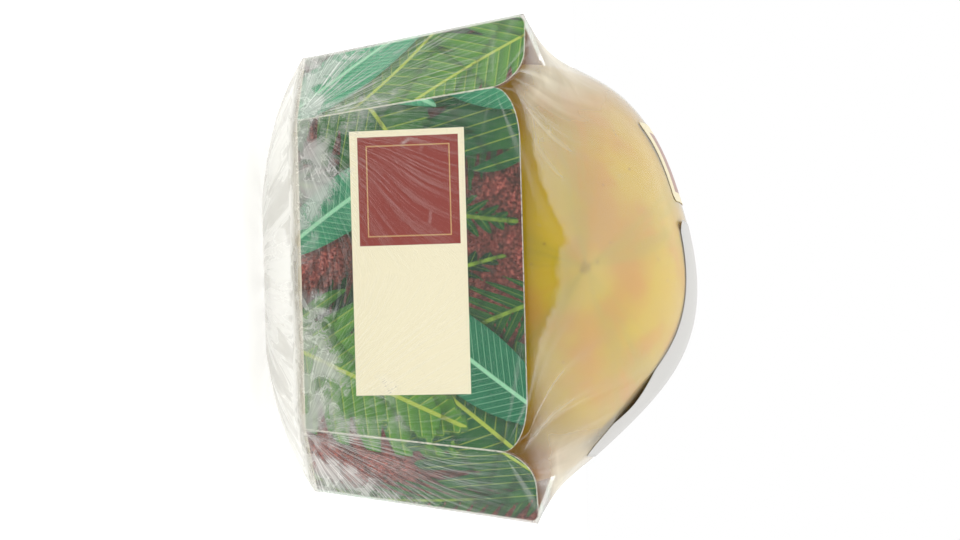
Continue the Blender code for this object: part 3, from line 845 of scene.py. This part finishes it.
# The haze over the fruit, partly a painted reflection of the bright overhead tent, adds to the milk
film_haze_and_sheen = maths(tree, "MULTIPLY", read(tree, "film_haze_and_sheen").outputs["Fac"], misted)
milk = maths(tree, "ADD", maths(tree, "MULTIPLY", fan_lines_and_highlights, 0.6), maths(tree, "MULTIPLY", pull_lines_and_highlights, 0.3))
milk = maths(tree, "ADD", milk, maths(tree, "MULTIPLY_ADD", crease_line, 0.22, crumple))
milk = maths(tree, "MINIMUM", maths(tree, "ADD", milk, film_haze_and_sheen), 0.9)
crinkle_relief = maths(tree, "MULTIPLY", crinkle.outputs["Fac"], marks.outputs[0])
soft = add(tree, "ShaderNodeTexNoise", {"Vector": place, "Scale": 90.0, "Detail": 2.0, "Distortion": 0.8})
relief = maths(tree, "MULTIPLY_ADD", crinkle_relief, 0.35, maths(tree, "MULTIPLY", soft.outputs["Fac"], 0.08))
bump = add(tree, "ShaderNodeBump", {"Height": relief, "Distance": 0.0005, "Strength": 0.4})
clear = add(tree, "ShaderNodeBsdfTransparent", {"Color": (0.99, 0.99, 0.985, 1.0)})
gloss = add(tree, "ShaderNodeBsdfGlossy", {"Roughness": 0.12, "Normal": bump.outputs[0]})
# The share that is mirrored grows with the fifth power of the slant, alike from both sides of the thin film
slant = add(tree, "ShaderNodeLayerWeight", {"Blend": 0.5, "Normal": bump.outputs[0]}).outputs["Facing"]
mirror = maths(tree, "MULTIPLY_ADD", maths(tree, "POWER", slant, 5.0), 1 - FILM_MIRROR, FILM_MIRROR)
body = add(tree, "ShaderNodeMixShader", {0: mirror, 1: clear.outputs[0], 2: gloss.outputs[0]})
# The milk turns cream where the haze and painted reflection lie thick
white = add(
    tree,
    "ShaderNodeBsdfPrincipled",
    {
        "Base Color": blend(tree, span(tree, film_haze_and_sheen, 0.0, 0.3), linear("#F6F6F2"), linear("#E0D7BE")),
        "Roughness": 0.35,
        "IOR": 1.5,
        "Normal": bump.outputs[0],
    },
)
milky = add(tree, "ShaderNodeMixShader", {0: milk, 1: body.outputs[0], 2: white.outputs[0]})
tree.links.new(milky.outputs[0], out.inputs["Surface"])

film_points = with_ends(film_rings, (0.0, 0.0, FLOOR_Z - FLOOR_BOW - FILM_PAD - GAP), (0.0, 0.0, film_top))
film = put_mesh("stretch_film", film_points, ring_faces(len(film_rings), len(film_wall)), cling)
foot_row = UNDER_ROWS - 1
step = np.linalg.norm(np.diff(film_rings, axis=0), axis=-1)
rise = np.concatenate([np.zeros((1, len(film_wall))), np.cumsum(step, axis=0)])
rise = rise - rise[foot_row]
run = film_run[None, :] + 0 * rise
lap = 2 * math.pi * run / perimeter
drum = perimeter / (2 * math.pi)
front = np.clip((-film_rings[..., 1] - 0.02) / 0.04, 0.25, 1)
height = film_rings[..., 2] - FLOOR_Z
ragged = 0.006 * wander(film_rings, 0.035, 71) + 0.003 * wander(film_rings, 0.012, 72)
low_band = np.clip(1 - (height + ragged) / 0.011, 0, 1) ** 1.3
fold_off = np.abs((run[..., None] - fold_start + perimeter / 2) % perimeter - perimeter / 2).min(axis=-1)
bunch = np.exp(-(((fold_off + 1.2 * ragged) / 0.012) ** 2))
bunch = bunch * np.clip(1 - (height + 2 * ragged) / 0.036, 0, 1) ** 0.8
crumpled = np.clip(0.6 * low_band + 0.42 * bunch, 0, 0.62) * (0.55 + 0.45 * front)
crumpled = np.where(np.arange(len(film_rings))[:, None] < foot_row, 1.0, crumpled)
# Stretch fans and pulls from the notches, milky and partly painted highlight
low_angle, low_far, low_index = nearest_fan(run, rise, fold_start[[0, 1, 4, 5]], 0.0)
low_angle = low_angle + 0.05 * wander(film_rings, 0.040, 95)
fan_streaks_and_highlights = np.exp(-((low_far / 0.050) ** 2)) * (rise > 0) * np.clip(1 - (height - 0.045) / 0.02, 0, 1)
fan_streaks_and_highlights = fan_streaks_and_highlights * np.where(film_wall % 4 == 0, 0.3, 0.8) * np.clip(low_far / 0.010, 0, 1)
top_angle, top_far, top_index = nearest_fan(run, rise, fold_start[[0, 1, 4, 5]], 0.058)
pull_streaks_and_highlights = np.exp(-(((top_far - 0.014) / 0.020) ** 2)) * np.clip((height - 0.052) / 0.008, 0, 1)
marks_values = np.stack([crumpled, fan_streaks_and_highlights, np.clip(pull_streaks_and_highlights, 0, 1)], axis=-1)
keep(film, "marks", with_ends(marks_values, (1.0, 0.0, 0.0), (0.0, 0.0, 0.0)))
# It is milky where it stands a little off the skin, and clear below a wavy arch in front, where it is pulled tight.
# Above the arch the milk is partly a painted reflection of the bright overhead tent, whiter as painted sheen towards
# the sides and along the arch's edge
above_rim = rise - rise[UNDER_ROWS + WALL_ROWS - 1]
from_middle = np.abs(film_rings[..., 0] - HAZE_SHEEN_MIDDLE) / HAZE_SHEEN_REACH
arch = np.maximum(HAZE_SHEEN_PEAK * (1 - from_middle), HAZE_SHEEN_LEAST)
arch = arch + 0.0018 * wander(film_rings, 0.018, 91) + 0.0008 * wander(film_rings, 0.006, 92)
fade = 0.0014 + 0.0090 * np.clip((from_middle - 0.6) / 0.5, 0, 1)
haze_sheen_zone = np.clip((above_rim - arch) / fade, 0, 1) * (above_rim > 0)
# Painted sheen: the haze is whiter towards the sides and just above the arch's edge
sides = np.clip(np.abs(film_rings[..., 0]) / 0.062, 0, 1)
edge_haze_and_sheen = np.exp(-np.maximum(above_rim - arch, 0) / 0.012)
patchy = 0.72 + 0.22 * wander(film_rings, 0.045, 93)
haze_and_sheen = HAZE_AND_SHEEN_MILK * np.clip(patchy + 0.35 * sides**2 + 0.45 * edge_haze_and_sheen, 0, 1.5)
# The side tents, where the film stands well off the skin, are milkier still, partly as painted sheen
standing = np.zeros(rise.shape)
standing[UNDER_ROWS + WALL_ROWS :] = (over_reach - skin_line).T
off_skin = np.clip(standing / 0.004, 0, 1)
outer = np.clip((np.abs(film_rings[..., 0]) - 0.044) / 0.020, 0, 1)
haze_and_sheen = haze_sheen_zone * (haze_and_sheen + (TENT_MILK_AND_SHEEN - haze_and_sheen) * off_skin * outer)
keep(film, "film_haze_and_sheen", with_ends(haze_and_sheen[..., None], 0.0, 0.7 * HAZE_AND_SHEEN_MILK))
fan_values = np.stack([80 * low_angle, 30 * low_far, 7.0 * low_index], axis=-1)
keep(film, "fan", with_ends(fan_values, (0.0, 0.0, 0.0), (0.0, 0.0, 0.0)))
pull_values = np.stack([4.6 * top_angle, 10 * top_far, 5.0 * top_index], axis=-1)
keep(film, "pull", with_ends(pull_values, (0.0, 0.0, 0.0), (0.0, 0.0, 0.0)))
under = np.clip(-rise / 0.003, 0, 1)
streaked = 190 * (1 - 0.85 * under) * rise
fine_turn = 150 * (1 - 0.2 * under) * drum
gather_values = np.stack([fine_turn * np.cos(lap), fine_turn * np.sin(lap), streaked], axis=-1)
keep(film, "gather", with_ends(gather_values, (0.0, 0.0, -9.0), (0.0, 0.0, 60.0)))
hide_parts("film_wrap")
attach(film, "root")

# Two paper labels are stuck on the film over the fruit: a wide white one at the right and a small cream one with
# a mauve-brown block at the left. They lie close, but for short places where the front edge has lifted.
LABEL_REST = 0.00006
LABEL_THICK = 0.00008
LABEL_CORNER = 0.0020
RADII = np.linspace(0, 0.080, 321)

over_out = over_reach * np.cos(angles)
over_up = CORE[2] + over_reach * np.sin(angles)
film_turn = np.unwrap(np.arctan2(heading[:, 1], heading[:, 0]))
height_table = np.array(
    [np.interp(RADII, np.append(out[::-1], reach), np.append(up[::-1], level))
     for out, up, reach, level in zip(over_out, over_up, reach_flat, rim_line[:, 2])]
)


def film_height(x, y):
    """Height of the film over a place: the table of height by turn and radius, read between its entries."""
    turn = (np.arctan2(y, x) - film_turn[0]) % (2 * math.pi) + film_turn[0]
    column = np.interp(turn, film_turn, np.arange(len(film_turn)))
    low = np.floor(column).astype(int)
    high = (low + 1) % len(film_turn)
    radius = np.hypot(x, y) / (RADII[1] - RADII[0])
    ring = np.clip(np.floor(radius).astype(int), 0, len(RADII) - 2)
    part, share = column - low, radius - ring
    near = height_table[low, ring] * (1 - share) + height_table[low, ring + 1] * share
    far = height_table[high, ring] * (1 - share) + height_table[high, ring + 1] * share
    return near * (1 - part) + far * part


def label_sheet(name, centre, half, turn, lift_front, seed, finish):
    """A curled sticker: a rounded rectangle laid on the film, with its front edge lifted in soft waves. The
    second face lies one paper thickness above the first, and a rim joins them."""
    across, deep = 90, 70
    u, v = np.meshgrid(np.linspace(-1, 1, across + 1), np.linspace(-1, 1, deep + 1), indexing="xy")
    c = np.maximum(0, np.abs(u) * half[0] - half[0] + LABEL_CORNER) / LABEL_CORNER
    d = np.maximum(0, np.abs(v) * half[1] - half[1] + LABEL_CORNER) / LABEL_CORNER
    straight_x = np.minimum(np.abs(u) * half[0], half[0] - LABEL_CORNER)
    straight_y = np.minimum(np.abs(v) * half[1], half[1] - LABEL_CORNER)
    flat_x = np.sign(u) * (straight_x + c * np.sqrt(1 - d**2 / 2) * LABEL_CORNER)
    flat_y = np.sign(v) * (straight_y + d * np.sqrt(1 - c**2 / 2) * LABEL_CORNER)
    x = centre[0] + flat_x * math.cos(turn) - flat_y * math.sin(turn)
    y = centre[1] + flat_x * math.sin(turn) + flat_y * math.cos(turn)
    z = film_height(x, y)
    nudge = 0.0015
    slope_x = (film_height(x + nudge, y) - film_height(x - nudge, y)) / (2 * nudge)
    slope_y = (film_height(x, y + nudge) - film_height(x, y - nudge)) / (2 * nudge)
    normal = np.stack([-slope_x, -slope_y, np.ones(x.shape)], axis=-1)
    normal /= np.linalg.norm(normal, axis=-1, keepdims=True)
    # Lift: nothing in the middle, growing with the fifth power to the front edge, in a few places along it
    edge_wave = 0.5 + 0.5 * wander(np.stack([x, 0 * x, 0 * x], axis=-1), 0.028, seed)
    lift = LABEL_REST + lift_front * np.clip(-v, 0, 1) ** 5 * np.clip(3.2 * edge_wave - 2.0, 0, 1)
    lift = lift + 0.0001 * np.abs(u) ** 6 + 0.0001 * np.clip(v, 0, 1) ** 5
    base = np.stack([x, y, z], axis=-1) + normal * lift[..., None]
    lower, upper = base.reshape(-1, 3), (base + normal * LABEL_THICK).reshape(-1, 3)
    index = np.arange((deep + 1) * (across + 1)).reshape(deep + 1, across + 1)
    quads = np.stack([index[:-1, :-1], index[:-1, 1:], index[1:, 1:], index[1:, :-1]], axis=-1).reshape(-1, 4)
    offset = index.size
    ring = np.concatenate([index[0, :-1], index[:-1, -1], index[-1, :0:-1], index[:0:-1, 0]])
    after = np.roll(ring, -1)
    rim = np.stack([ring, after, after + offset, ring + offset], axis=-1)
    faces = (quads + offset).tolist() + quads[:, ::-1].tolist() + rim.tolist()
    label = put_mesh(name, np.concatenate([lower, upper]), faces, finish)
    spot = np.stack([1000 * flat_x, 1000 * flat_y, 0 * x], axis=-1).reshape(-1, 3)
    keep(label, "sheet", np.concatenate([spot, spot]))
    return label


def label_paper(name, ground, block=None):
    """Semi-gloss label stock: even and smooth, faintly fibrous, with an optional plain printed block."""
    finish, tree, out = new_finish(name)
    sheet = add(tree, "ShaderNodeSeparateXYZ", {0: read(tree, "sheet").outputs["Vector"]})
    place = read(tree, "sheet").outputs["Vector"]
    fibre = add(tree, "ShaderNodeTexNoise", {"Vector": place, "Scale": 2.5, "Detail": 5.0})
    colour = blend(tree, span(tree, fibre.outputs["Fac"], 0.3, 0.7, 0.0, 0.12), linear(ground), linear("#B9B3A6"))
    if block:
        low, high, ink = block
        field = box_field(tree, sheet.outputs[0], sheet.outputs[1], low, high)
        colour = blend(tree, span(tree, field, 0.08, -0.08), colour, linear(ink))
    bump = add(tree, "ShaderNodeBump", {"Height": fibre.outputs["Fac"], "Distance": 0.00003, "Strength": 0.5})
    shader = add(
        tree,
        "ShaderNodeBsdfPrincipled",
        {"Base Color": colour, "Roughness": 0.38, "IOR": 1.5, "Normal": bump.outputs[0]},
    )
    tree.links.new(shader.outputs[0], out.inputs["Surface"])
    return finish


white_stock = label_paper("white label stock", "#BBBAB7")
cream_stock = label_paper("cream label stock", "#DDD2AC", ((-9.0, -12.5), (9.0, 6.0), "#9C7A70"))
white_sheet = label_sheet(
    "white_label_sheet", (0.0235, -0.0190), (0.0345, 0.0270), math.radians(-5.0), 0.0016, 5, white_stock
)
cream_sheet = label_sheet(
    "cream_label_sheet", (-0.0300, -0.0235), (0.0120, 0.0165), math.radians(-3.0), 0.0012, 9, cream_stock
)
for sheet, node, paper in ((white_sheet, "white_label", "white_paper"), (cream_sheet, "cream_label", "cream_paper")):
    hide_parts(node)
    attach(sheet, "root")
